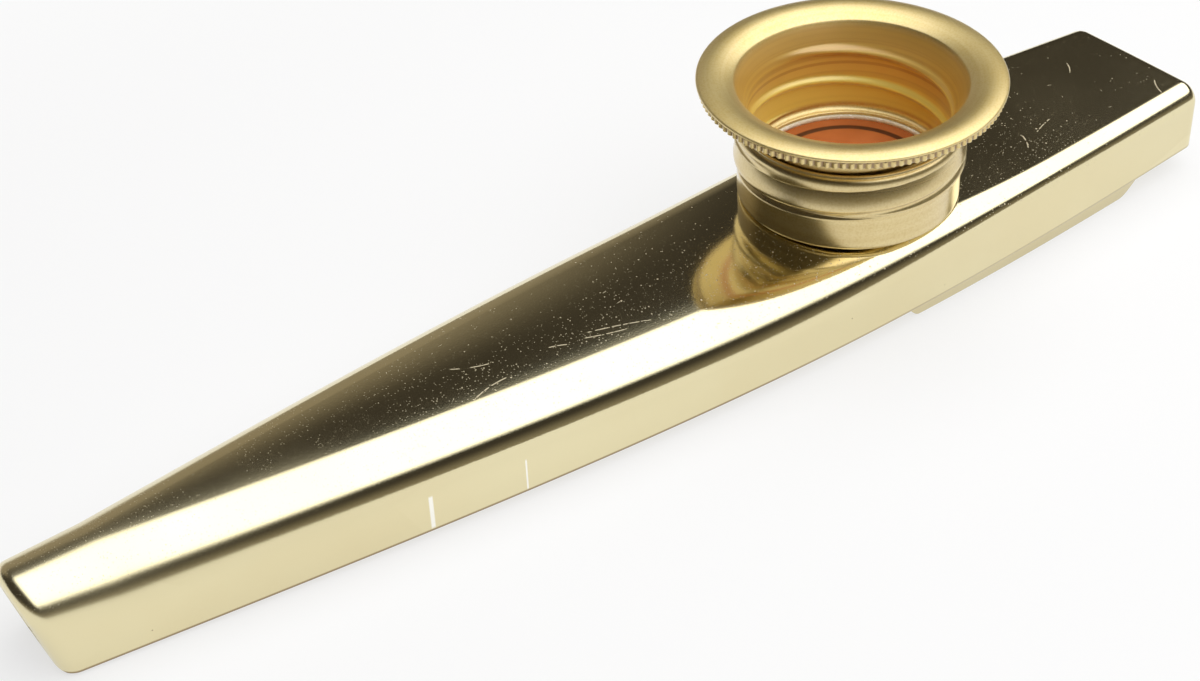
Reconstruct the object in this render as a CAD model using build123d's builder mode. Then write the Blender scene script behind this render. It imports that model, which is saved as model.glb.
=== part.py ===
"""A pressed-metal kazoo: two body shells, a threaded turret, its screw cap and the discs under the cap.

Millimetres, +Z up. The origin is on the table, under the middle of the body. +X runs from the
narrow exit end to the wide mouth end, and the turret's axis is parallel to +Z.
"""

import os

from build123d import *

# Body plan: widths of the outside, where the body is widest, and how far the top overhangs at the exit
BODY_LENGTH = 122.0
EXIT_WIDTH = 7.4
EXIT_SLANT = 1.7
WIDEST_WIDTH = 21.4
MOUTH_WIDTH = 16.2
WIDEST_FROM_MOUTH = 44.0
EXIT_FLARE = 0.127
MOUTH_TAPER = 0.09

# Body height: the top is level and the bottom edge climbs towards the mouth
EXIT_HEIGHT = 9.0
MOUTH_HEIGHT = 7.0

# Rounded top corners: full along the narrow half, tight at the mouth
MAIN_CORNER = 4.5
MOUTH_CORNER = 1.7
CORNER_CHANGE_START = 62.0
CORNER_CHANGE_LENGTH = 40.0
EXIT_FLAT = 0.4

# Body sheet, its hem and its turned ends
BODY_SHEET = 0.45
HEM_LIP = 0.95
HEM_ROUND = 0.8
END_LIP = 1.05
END_ROUND = 0.75
PLATE_CLEARANCE = 0.05
SECTION_COUNT = 13

# Belly pressed into the bottom plate
BELLY_FROM_MOUTH = 7.5
BELLY_LENGTH = 32.5
BELLY_RAMP_REAR = 3.0
BELLY_RAMP_FRONT = 2.0
BELLY_EDGE_GAP = 0.05
BELLY_SIDE_RAMP = 0.2
BELLY_CORNER = 2.0

# Turret: place on the body, and the collar, which is nearly as wide as the body
TURRET_FROM_MOUTH = 38.2
TURRET_SHEET = 0.4
COLLAR_EDGE_GAP = 0.55
SPIGOT_STEP = 3.25
SPIGOT_FLANGE = 0.8
SPIGOT_CLEARANCE = 0.05
COLLAR_BASE_ROUND = 0.5
COLLAR_BAND_HEIGHT = 3.6
COLLAR_BULGE_HEIGHT = 2.8
COLLAR_BEAD_HEIGHT = 1.5
COLLAR_BULGE = 0.35

# Thread: a narrow bead rolled into both sheets, right-handed
THREAD_PITCH = 3.2
THREAD_PHASE = -214.0
THREAD_FLANK = 0.5
BEAD_HALF = 0.3
BEAD_STAND = 0.4
THREAD_CLEARANCE = 0.12
THREAD_PLAY = 0.2
COLLAR_THREAD_START = 2.7
COLLAR_THREAD_TURNS = 1.3
GROOVE_RUN_OUT = 0.04

# Cap
SLEEVE_CLEARANCE = 0.15
SLEEVE_LIP = 0.6
NECK_HEIGHT = 7.05
NECK_FLARE = 1.23
NECK_RISE = 2.1
NECK_BELL = 0.6
NECK_UNDERCUT = 0.7
RIM_OVERHANG = 3.7
RIM_LIFT = 0.35
RIM_CROWN = 0.4
RIM_EDGE = 0.9
KNURL_STEP = 0.2
KNURL_COUNT = 120
KNURL_DEPTH = 0.2

# Discs under the cap
RING_HEIGHT = 1.5
RING_WALL = 2.15
FILM_THICKNESS = 0.1
WASHER_THICKNESS = 0.35
WASHER_WALL = 0.8
DISC_CLEARANCE = 0.1

# Places worked out from the sizes above
EXIT_X = -BODY_LENGTH / 2
MOUTH_X = BODY_LENGTH / 2
WIDEST_X = MOUTH_X - WIDEST_FROM_MOUTH
TURRET_X = MOUTH_X - TURRET_FROM_MOUTH
TOP_Z = EXIT_HEIGHT
HEM_SLOPE = (EXIT_HEIGHT - MOUTH_HEIGHT) / BODY_LENGTH
EXIT_PLANE = Plane(origin=(EXIT_X, 0, TOP_Z), x_dir=(0, 1, 0), z_dir=(EXIT_HEIGHT, 0, EXIT_SLANT))
COLLAR_RADIUS = WIDEST_WIDTH / 2 - COLLAR_EDGE_GAP
COLLAR_BORE_RADIUS = COLLAR_RADIUS - TURRET_SHEET
SPIGOT_RADIUS = COLLAR_BORE_RADIUS - SPIGOT_STEP
RIM_RADIUS = COLLAR_RADIUS + RIM_OVERHANG
FLOOR_Z = TOP_Z + TURRET_SHEET
DISC_RADIUS = COLLAR_BORE_RADIUS - BEAD_STAND - DISC_CLEARANCE
FILM_Z = FLOOR_Z + RING_HEIGHT
WASHER_Z = FILM_Z + FILM_THICKNESS
SLEEVE_Z = WASHER_Z + WASHER_THICKNESS
SLEEVE_RADIUS = COLLAR_BORE_RADIUS - SLEEVE_CLEARANCE
SLEEVE_BORE_RADIUS = SLEEVE_RADIUS - TURRET_SHEET
TURRET_AXIS = Axis((TURRET_X, 0, 0), (0, 0, 1))
TURRET_PLANE = Plane(origin=(TURRET_X, 0, 0), x_dir=(1, 0, 0), z_dir=(0, -1, 0))


def half_width(x):
    """Half of the outside width at x: one cubic from the exit to the widest place, one on to the mouth."""
    if x < WIDEST_X:
        span = WIDEST_X - EXIT_X
        t = (x - EXIT_X) / span
        rise = (WIDEST_WIDTH - EXIT_WIDTH) / 2
        start = EXIT_WIDTH / 2 + span * EXIT_FLARE * (t - 2 * t**2 + t**3)
        return start + rise * (3 * t**2 - 2 * t**3)
    t = (x - WIDEST_X) / WIDEST_FROM_MOUTH
    fall = (WIDEST_WIDTH - MOUTH_WIDTH) / 2
    bend = WIDEST_FROM_MOUTH * MOUTH_TAPER * (t**2 - t**3)
    return WIDEST_WIDTH / 2 - fall * (3 * t**2 - 2 * t**3) + bend


def corner_radius(x):
    """Radius of the top corner at x, never wider than the top itself."""
    t = (x - EXIT_X - CORNER_CHANGE_START) / CORNER_CHANGE_LENGTH
    t = min(max(t, 0.0), 1.0)
    wanted = MAIN_CORNER + (MOUTH_CORNER - MAIN_CORNER) * (3 * t**2 - 2 * t**3)
    return min(wanted, half_width(x) - EXIT_FLAT / 2)


def hem_height(x):
    """Height of the body's bottom edge at x."""
    return HEM_SLOPE * (x - EXIT_X)


def stations(start, end):
    """Evenly spaced places along the body."""
    return [start + (end - start) * i / (SECTION_COUNT - 1) for i in range(SECTION_COUNT)]


def cross_plane(x):
    """Plane across the body at x, with its own x along +Y and its own y along +Z."""
    return Plane(origin=(x, 0, 0), x_dir=(0, 1, 0), z_dir=(1, 0, 0))


def arch_section(x, inset, foot, hem=0.0):
    """The body's arched section at x, moved in from the outside, standing on the height foot, with hem as the
    round of its bottom corners."""
    side = half_width(x) - inset
    top = TOP_Z - inset
    corner = corner_radius(x) - inset
    crown = side - corner
    with BuildSketch(cross_plane(x)) as section:
        with BuildLine():
            Line((side, foot + hem), (side, top - corner))
            RadiusArc((side, top - corner), (crown, top), -corner)
            Line((crown, top), (-crown, top))
            RadiusArc((-crown, top), (-side, top - corner), -corner)
            Line((-side, top - corner), (-side, foot + hem))
            if hem:
                RadiusArc((-side, foot + hem), (-side + hem, foot), -hem)
                RadiusArc((side - hem, foot), (side, foot + hem), -hem)
            Line((-side + hem, foot), (side - hem, foot))
        make_face()
    return section.sketch


def strip_section(x, inset, low, high):
    """A flat strip across the body at x, moved in from the outside, between two heights."""
    side = half_width(x) - inset
    with BuildSketch(cross_plane(x)) as section:
        with BuildLine():
            Polyline((-side, low), (side, low), (side, high), (-side, high), close=True)
        make_face()
    return section.sketch


def belly_outline(z, inset, rear, front):
    """The belly's straight-sided outline at a height, between two places along the body."""
    rear_side = half_width(rear) - inset
    front_side = half_width(front) - inset
    with BuildSketch(Plane.XY.offset(z)) as outline:
        with BuildLine():
            Polyline((rear, -rear_side), (front, -front_side), (front, front_side), (rear, rear_side),
                     close=True)
        make_face()
        fillet(outline.vertices(), BELLY_CORNER)
    return outline.sketch


def thread_path(start_z, turns, lift=0.0):
    """A right-handed helix on the collar's bore, on the thread's angle at start_z, or lifted off it."""
    angle = THREAD_PHASE + 360 * (start_z - lift - TOP_Z) / THREAD_PITCH
    with BuildLine() as line:
        Helix(THREAD_PITCH, THREAD_PITCH * turns, COLLAR_BORE_RADIUS, center=(TURRET_X, 0, start_z))
    return line.line.rotate(TURRET_AXIS, angle)


def thread_section(path, root, tip, half):
    """A ridge across a helix, from the radius root to the radius tip, with the half-width half at its tip."""
    start = path @ 0
    outward = Vector(start.X - TURRET_X, start.Y, 0)
    root_x = root - COLLAR_BORE_RADIUS
    tip_x = tip - COLLAR_BORE_RADIUS
    root_half = half + THREAD_FLANK * (root - tip)
    with BuildSketch(Plane(origin=start, x_dir=outward, z_dir=path % 0)) as section:
        with BuildLine():
            Polyline((root_x, -root_half), (tip_x, -half), (tip_x, half), (root_x, root_half), close=True)
        make_face()
    return section.sketch


os.makedirs("parts", exist_ok=True)

# Upper shell: arched sheet with turned ends, a hem along the bottom and the turret's hole
with BuildPart() as cavity:
    inside = stations(EXIT_X, MOUTH_X - BODY_SHEET)
    loft([arch_section(x, BODY_SHEET, hem_height(x) + BODY_SHEET) for x in inside])
    split(bisect_by=EXIT_PLANE.offset(BODY_SHEET), keep=Keep.TOP)
with BuildPart() as upper_shell:
    loft([arch_section(x, 0, hem_height(x), HEM_ROUND) for x in stations(EXIT_X, MOUTH_X)])
    split(bisect_by=EXIT_PLANE, keep=Keep.TOP)
    end_faces = upper_shell.faces().sort_by(Axis.X)
    fillet(end_faces[0].edges() + end_faces[-1].edges(), END_ROUND)
    add(cavity.part, mode=Mode.SUBTRACT)
    slot = stations(EXIT_X + EXIT_SLANT + END_LIP, MOUTH_X - END_LIP)
    loft([strip_section(x, HEM_LIP, hem_height(x) - HEM_LIP, hem_height(x) + HEM_LIP) for x in slot],
         mode=Mode.SUBTRACT)
    extrude(arch_section(EXIT_X, END_LIP, hem_height(EXIT_X) + END_LIP),
            amount=EXIT_SLANT + 2 * END_LIP, both=True, mode=Mode.SUBTRACT)
    extrude(arch_section(MOUTH_X, END_LIP, hem_height(MOUTH_X) + END_LIP),
            amount=2 * END_LIP, both=True, mode=Mode.SUBTRACT)
    with BuildSketch(Plane(origin=(TURRET_X, 0, TOP_Z))):
        Circle(SPIGOT_RADIUS + SPIGOT_CLEARANCE)
    extrude(amount=-2 * BODY_SHEET, mode=Mode.SUBTRACT)
upper_shell.part.label = "upper_shell"
export_step(upper_shell.part, "parts/upper_shell.step")

# Lower shell: flat plate lying on the hem, with a hollow belly that reaches the table
belly_front = MOUTH_X - BELLY_FROM_MOUTH
belly_rear = belly_front - BELLY_LENGTH
belly_inset = HEM_LIP + BELLY_EDGE_GAP
belly_top = hem_height(belly_front) + 1.5 * BODY_SHEET
plate_top = Plane(origin=(EXIT_X, 0, 2 * BODY_SHEET), x_dir=(1, 0, HEM_SLOPE), z_dir=(-HEM_SLOPE, 0, 1))
with BuildPart() as lower_shell:
    loft([
        belly_outline(0, belly_inset + BELLY_SIDE_RAMP,
                      belly_rear + BELLY_RAMP_REAR, belly_front - BELLY_RAMP_FRONT),
        belly_outline(belly_top, belly_inset, belly_rear, belly_front),
    ], ruled=True)
    split(bisect_by=plate_top, keep=Keep.BOTTOM)
    plate_inset = BODY_SHEET + PLATE_CLEARANCE
    plate = stations(EXIT_X + EXIT_SLANT + plate_inset, MOUTH_X - plate_inset)
    loft([
        strip_section(x, plate_inset, hem_height(x) + BODY_SHEET, hem_height(x) + 2 * BODY_SHEET) for x in plate
    ])
    loft([
        belly_outline(BODY_SHEET, belly_inset + BELLY_SIDE_RAMP + BODY_SHEET,
                      belly_rear + BELLY_RAMP_REAR + BODY_SHEET, belly_front - BELLY_RAMP_FRONT - BODY_SHEET),
        belly_outline(belly_top + BODY_SHEET, belly_inset + BODY_SHEET,
                      belly_rear + BODY_SHEET, belly_front - BODY_SHEET),
    ], ruled=True, mode=Mode.SUBTRACT)
lower_shell.part.label = "lower_shell"
export_step(lower_shell.part, "parts/lower_shell.step")

# Turret collar: a cup whose spigot is swaged under the shell, with one bead rolled in as a thread
spigot_bore = SPIGOT_RADIUS - TURRET_SHEET
spigot_end = TOP_Z - BODY_SHEET - TURRET_SHEET
band_top = TOP_Z + COLLAR_BAND_HEIGHT
bulge_top = band_top + COLLAR_BULGE_HEIGHT
collar_top = bulge_top + COLLAR_BEAD_HEIGHT
bead_round = TURRET_SHEET / 2
bead_tip = COLLAR_BORE_RADIUS - BEAD_STAND
with BuildPart() as turret_collar:
    with BuildSketch(TURRET_PLANE):
        with BuildLine():
            Polyline(
                (spigot_bore, FLOOR_Z),
                (spigot_bore, spigot_end),
                (SPIGOT_RADIUS + SPIGOT_FLANGE, spigot_end),
                (SPIGOT_RADIUS + SPIGOT_FLANGE, TOP_Z - BODY_SHEET),
                (SPIGOT_RADIUS, TOP_Z - BODY_SHEET),
                (SPIGOT_RADIUS, TOP_Z),
                (COLLAR_RADIUS - COLLAR_BASE_ROUND, TOP_Z),
            )
            RadiusArc((COLLAR_RADIUS - COLLAR_BASE_ROUND, TOP_Z), (COLLAR_RADIUS, TOP_Z + COLLAR_BASE_ROUND),
                      -COLLAR_BASE_ROUND)
            Line((COLLAR_RADIUS, TOP_Z + COLLAR_BASE_ROUND), (COLLAR_RADIUS, band_top))
            ThreePointArc((COLLAR_RADIUS, band_top),
                          (COLLAR_RADIUS + COLLAR_BULGE, (band_top + bulge_top) / 2),
                          (COLLAR_RADIUS, bulge_top))
            ThreePointArc((COLLAR_RADIUS, bulge_top),
                          (COLLAR_RADIUS + COLLAR_BULGE, (bulge_top + collar_top) / 2),
                          (COLLAR_RADIUS, collar_top - bead_round))
            ThreePointArc((COLLAR_RADIUS, collar_top - bead_round),
                          (COLLAR_RADIUS - bead_round, collar_top),
                          (COLLAR_BORE_RADIUS, collar_top - bead_round))
            Polyline((COLLAR_BORE_RADIUS, collar_top - bead_round), (COLLAR_BORE_RADIUS, FLOOR_Z),
                     (spigot_bore, FLOOR_Z))
        make_face()
    revolve(axis=TURRET_AXIS)
    collar_thread_z = TOP_Z + COLLAR_THREAD_START
    collar_path = thread_path(collar_thread_z, COLLAR_THREAD_TURNS)
    sweep(
        thread_section(collar_path, COLLAR_BORE_RADIUS + TURRET_SHEET / 2, bead_tip, BEAD_HALF),
        path=collar_path, is_frenet=True,
    )
    groove_path = thread_path(collar_thread_z + GROOVE_RUN_OUT * THREAD_PITCH,
                              COLLAR_THREAD_TURNS - 2 * GROOVE_RUN_OUT)
    sweep(
        thread_section(groove_path, COLLAR_RADIUS + 2 * COLLAR_BULGE, bead_tip + TURRET_SHEET, BEAD_HALF),
        path=groove_path, is_frenet=True, mode=Mode.SUBTRACT,
    )
turret_collar.part.label = "turret_collar"
export_step(turret_collar.part, "parts/turret_collar.step")

# Turret cap: a threaded sleeve with an inward lip, a flared neck and a knurled rim
neck_z = SLEEVE_Z + NECK_HEIGHT
throat_radius = SLEEVE_BORE_RADIUS + NECK_FLARE
throat_z = neck_z + NECK_RISE
rim_z = throat_z + RIM_LIFT
edge_low = rim_z - RIM_EDGE
crown_radius = (throat_radius + RIM_RADIUS) / 2
crown_z = rim_z + RIM_CROWN
knurl_radius = RIM_RADIUS - KNURL_STEP
groove_tip = bead_tip - THREAD_CLEARANCE
groove_half = BEAD_HALF + THREAD_CLEARANCE + THREAD_PLAY
groove_root = COLLAR_BORE_RADIUS + TURRET_SHEET
thread_low = SLEEVE_Z - THREAD_PITCH / 2
thread_high = neck_z - groove_half - THREAD_FLANK * (groove_root - groove_tip) - TURRET_SHEET / 2
with BuildPart() as turret_cap:
    with BuildSketch(Plane(origin=(TURRET_X, 0, SLEEVE_Z))):
        Circle(SLEEVE_RADIUS)
        Circle(SLEEVE_BORE_RADIUS, mode=Mode.SUBTRACT)
    extrude(amount=NECK_HEIGHT)
    sleeve_path = thread_path(thread_low, (thread_high - thread_low) / THREAD_PITCH, THREAD_PLAY)
    sweep(
        thread_section(sleeve_path, SLEEVE_RADIUS - TURRET_SHEET / 2, groove_tip - TURRET_SHEET, groove_half),
        path=sleeve_path, is_frenet=True,
    )
    sweep(
        thread_section(sleeve_path, groove_root, groove_tip, groove_half),
        path=sleeve_path, is_frenet=True, mode=Mode.SUBTRACT,
    )
    split(bisect_by=Plane.XY.offset(SLEEVE_Z), keep=Keep.TOP)
    with BuildSketch(Plane(origin=(TURRET_X, 0, SLEEVE_Z))):
        Circle(SLEEVE_BORE_RADIUS)
        Circle(SLEEVE_BORE_RADIUS - SLEEVE_LIP, mode=Mode.SUBTRACT)
    extrude(amount=TURRET_SHEET)
    with BuildSketch(TURRET_PLANE):
        with BuildLine():
            Line((SLEEVE_BORE_RADIUS, neck_z), (SLEEVE_RADIUS, neck_z))
            ThreePointArc(
                (SLEEVE_RADIUS, neck_z),
                (throat_radius + TURRET_SHEET, throat_z - NECK_UNDERCUT),
                (knurl_radius - KNURL_STEP, edge_low),
            )
            Polyline(
                (knurl_radius - KNURL_STEP, edge_low),
                (knurl_radius, edge_low + KNURL_STEP),
                (knurl_radius, rim_z - KNURL_STEP),
                (RIM_RADIUS, rim_z),
            )
            ThreePointArc((RIM_RADIUS, rim_z), (crown_radius, crown_z), (throat_radius, throat_z))
            ThreePointArc(
                (throat_radius, throat_z),
                (SLEEVE_BORE_RADIUS + NECK_BELL * NECK_FLARE, neck_z + NECK_RISE / 2),
                (SLEEVE_BORE_RADIUS, neck_z),
            )
        make_face()
    revolve(axis=TURRET_AXIS)
    with BuildSketch(Plane(origin=(TURRET_X, 0, edge_low))):
        with PolarLocations(knurl_radius, KNURL_COUNT):
            RegularPolygon(KNURL_DEPTH, 3)
    extrude(amount=RIM_EDGE - KNURL_STEP, mode=Mode.SUBTRACT)
turret_cap.part.label = "turret_cap"
export_step(turret_cap.part, "parts/turret_cap.step")

# Resonator ring: stands on the cup's floor and carries the film
with BuildPart() as resonator_ring:
    with BuildSketch(Plane(origin=(TURRET_X, 0, FLOOR_Z))):
        Circle(DISC_RADIUS)
        Circle(DISC_RADIUS - RING_WALL, mode=Mode.SUBTRACT)
    extrude(amount=RING_HEIGHT)
resonator_ring.part.label = "resonator_ring"
export_step(resonator_ring.part, "parts/resonator_ring.step")

# Membrane: the film that buzzes
with BuildPart() as membrane:
    with BuildSketch(Plane(origin=(TURRET_X, 0, FILM_Z))):
        Circle(DISC_RADIUS)
    extrude(amount=FILM_THICKNESS)
membrane.part.label = "membrane"
export_step(membrane.part, "parts/membrane.step")

# Clamp washer: a thin ring between the film and the cap's sleeve
with BuildPart() as clamp_washer:
    with BuildSketch(Plane(origin=(TURRET_X, 0, WASHER_Z))):
        Circle(DISC_RADIUS)
        Circle(DISC_RADIUS - WASHER_WALL, mode=Mode.SUBTRACT)
    extrude(amount=WASHER_THICKNESS)
clamp_washer.part.label = "clamp_washer"
export_step(clamp_washer.part, "parts/clamp_washer.step")
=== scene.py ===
"""Dresses a pressed-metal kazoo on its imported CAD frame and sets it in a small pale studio.

Sizes in the classes are millimetres in the part's own frame: the origin is on the table under the middle
of the body, +X runs from the narrow exit end to the wide mouth end, and +Z is up along the turret's axis.
Meshes are written in metres.
"""

import logging
import math
from collections.abc import Callable
from dataclasses import dataclass
from dataclasses import field
from dataclasses import replace
from enum import Enum

import bmesh
import bpy
import numpy as np
from mathutils import Matrix
from numpy.typing import NDArray
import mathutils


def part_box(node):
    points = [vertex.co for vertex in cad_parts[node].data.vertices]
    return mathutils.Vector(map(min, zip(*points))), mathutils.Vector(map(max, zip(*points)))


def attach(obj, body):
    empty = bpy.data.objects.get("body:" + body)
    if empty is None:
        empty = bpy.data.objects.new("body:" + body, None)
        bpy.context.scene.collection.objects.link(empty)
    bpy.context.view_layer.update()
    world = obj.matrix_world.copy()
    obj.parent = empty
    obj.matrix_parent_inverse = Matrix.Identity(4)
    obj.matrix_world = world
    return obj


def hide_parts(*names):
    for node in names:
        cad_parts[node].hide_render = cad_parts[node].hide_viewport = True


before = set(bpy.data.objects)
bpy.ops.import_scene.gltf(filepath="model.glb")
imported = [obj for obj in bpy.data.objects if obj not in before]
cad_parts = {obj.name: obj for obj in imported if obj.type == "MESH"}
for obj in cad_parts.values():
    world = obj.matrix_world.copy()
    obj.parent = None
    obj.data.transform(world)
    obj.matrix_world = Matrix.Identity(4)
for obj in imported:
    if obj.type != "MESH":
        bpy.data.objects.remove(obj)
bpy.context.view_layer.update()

Array = NDArray[np.float64]
Point = tuple[float, float]
Vector = tuple[float, float, float]
Colour = tuple[float, float, float]
Object = bpy.types.Object
Material = bpy.types.Material

LOG = logging.getLogger("kazoo")
MM = 0.001
PHOTO_WIDTH = 1200
BLACK: Colour = (0.0, 0.0, 0.0)
WHITE: Colour = (1.0, 1.0, 1.0)


class Body(Enum):
    """The bodies of the frame that pieces ride on."""

    SHELL = "body"
    WASHER = "washer"
    CAP = "cap"


class Slot(Enum):
    """The record's material slots."""

    SHELL = "body_metal"
    COLLAR = "collar_metal"
    CAP = "cap_metal"
    CARD = "washer_card"
    FILM = "film"
    FIBRE = "ring_fibre"


def smooth_step(value: Array | float, start: float, end: float) -> Array:
    """Rises from 0 at start to 1 at end as 3t² - 2t³, level on both sides."""
    t = np.clip((np.asarray(value, float) - start) / (end - start), 0.0, 1.0)
    return t * t * (3.0 - 2.0 * t)


def grid_object(name: str, points: Array, wrap_rows: bool = False, wrap_columns: bool = False,
                keep: Callable[[Array], NDArray[np.bool_]] | None = None) -> Object:
    """Makes an object from a grid of points, with one quad between each four neighbours.

    A quad faces along the cross product of the row direction and the column direction.

    Args:
        name: Name of the object.
        points: Grid of shape (rows, columns, 3), in millimetres.
        wrap_rows: Joins the last row to the first.
        wrap_columns: Joins the last column to the first.
        keep: Takes the quads' centres and says which quads stay.

    Returns:
        The object, smooth, with coincident points merged.
    """
    rows, columns = points.shape[:2]
    index = np.arange(rows * columns).reshape(rows, columns)
    if wrap_rows:
        index = np.concatenate([index, index[:1]])
    if wrap_columns:
        index = np.concatenate([index, index[:, :1]], axis=1)
    quads = np.stack([index[:-1, :-1], index[1:, :-1], index[1:, 1:], index[:-1, 1:]], axis=-1).reshape(-1, 4)
    flat = points.reshape(-1, 3)
    if keep is not None:
        quads = quads[keep(flat[quads].mean(axis=1))]
    used, quads = np.unique(quads, return_inverse=True)
    mesh = bpy.data.meshes.new(name)
    mesh.from_pydata((flat[used] * MM).tolist(), [], quads.reshape(-1, 4).tolist())
    made = bmesh.new()
    made.from_mesh(mesh)
    bmesh.ops.remove_doubles(made, verts=made.verts, dist=1e-7)
    made.to_mesh(mesh)
    made.free()
    mesh.shade_smooth()
    obj = bpy.data.objects.new(name, mesh)
    bpy.context.scene.collection.objects.link(obj)
    return obj


def level_sheet(name: str, x: Array, y: Array, height: float) -> Object:
    """A flat grid over places along X and Y at one height, facing up where both rise."""
    x, y = np.meshgrid(x, y, indexing="ij")
    return grid_object(name, np.stack([x, y, 0 * x + height], axis=-1))


def thicken(obj: Object, sheet: float) -> bpy.types.Modifier:
    """Gives a skin its sheet's thickness in millimetres, behind its faces.

    Args:
        obj: The skin.
        sheet: Thickness.

    Returns:
        The modifier.
    """
    wall = obj.modifiers.new("sheet", "SOLIDIFY")
    wall.thickness = sheet * MM
    wall.offset = -1.0
    return wall


def polyline(points: list[Point], step: float) -> Array:
    """Points along straight runs of (radius, height), at most a step apart, without the last one.

    Args:
        points: Corners.
        step: Greatest distance between points.

    Returns:
        Shape (count, 2).
    """
    corners = np.array(points, float)
    runs = []
    for start, end in zip(corners[:-1], corners[1:]):
        count = max(1, math.ceil(float(np.hypot(*(end - start))) / step))
        share = np.arange(count)[:, None] / count
        runs.append(start + (end - start) * share)
    return np.concatenate(runs)


def bend(start: Point, middle: Point, end: Point, count: int) -> Array:
    """Points on the quadratic curve that passes through three points, without the last one.

    Args:
        start: First point.
        middle: Point halfway.
        end: End.
        count: Number of points.

    Returns:
        Shape (count, 2).
    """
    t = (np.arange(count) / count)[:, None]
    a, m, b = (np.array(p, float) for p in (start, middle, end))
    pull = 2.0 * m - 0.5 * (a + b)
    return (1 - t) ** 2 * a + 2 * t * (1 - t) * pull + t**2 * b


def rgba(colour: Colour) -> tuple[float, float, float, float]:
    """A colour with full alpha."""
    return (*colour, 1.0)


class Wire:
    """A value in a shader, with arithmetic that adds Math nodes."""

    def __init__(self, paint: "Paint", socket: bpy.types.NodeSocket) -> None:
        """Wraps an output socket of a paint's tree."""
        self.paint = paint
        self.socket = socket

    def _maths(self, operation: str, first: "Wire | float", second: "Wire | float") -> "Wire":
        """One Math node on two values."""
        return self.paint.node("ShaderNodeMath", {"operation": operation}, {0: first, 1: second})

    def __add__(self, other: "Wire | float") -> "Wire":
        """self + other."""
        return self._maths("ADD", self, other)

    __radd__ = __add__

    def __sub__(self, other: "Wire | float") -> "Wire":
        """self - other."""
        return self._maths("SUBTRACT", self, other)

    def __rsub__(self, other: float) -> "Wire":
        """other - self."""
        return self._maths("SUBTRACT", other, self)

    def __mul__(self, other: "Wire | float") -> "Wire":
        """self * other."""
        return self._maths("MULTIPLY", self, other)

    __rmul__ = __mul__

    def __abs__(self) -> "Wire":
        """Size of the value without its sign."""
        return self._maths("ABSOLUTE", self, 0.0)

    def rising(self, start: float, end: float) -> "Wire":
        """Goes smoothly from 0 at start to 1 at end.

        Args:
            start: Value where it leaves 0.
            end: Value where it reaches 1.

        Returns:
            The new value.
        """
        return self.paint.node(
            "ShaderNodeMapRange", {"interpolation_type": "SMOOTHSTEP"},
            {"Value": self, "From Min": start, "From Max": end, "To Min": 0.0, "To Max": 1.0},
        )

    def between(self, start: Point, end: Point) -> "Wire":
        """Rises from 0 to 1 over the first span and falls back over the second."""
        return self.rising(*start) - self.rising(*end)


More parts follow.
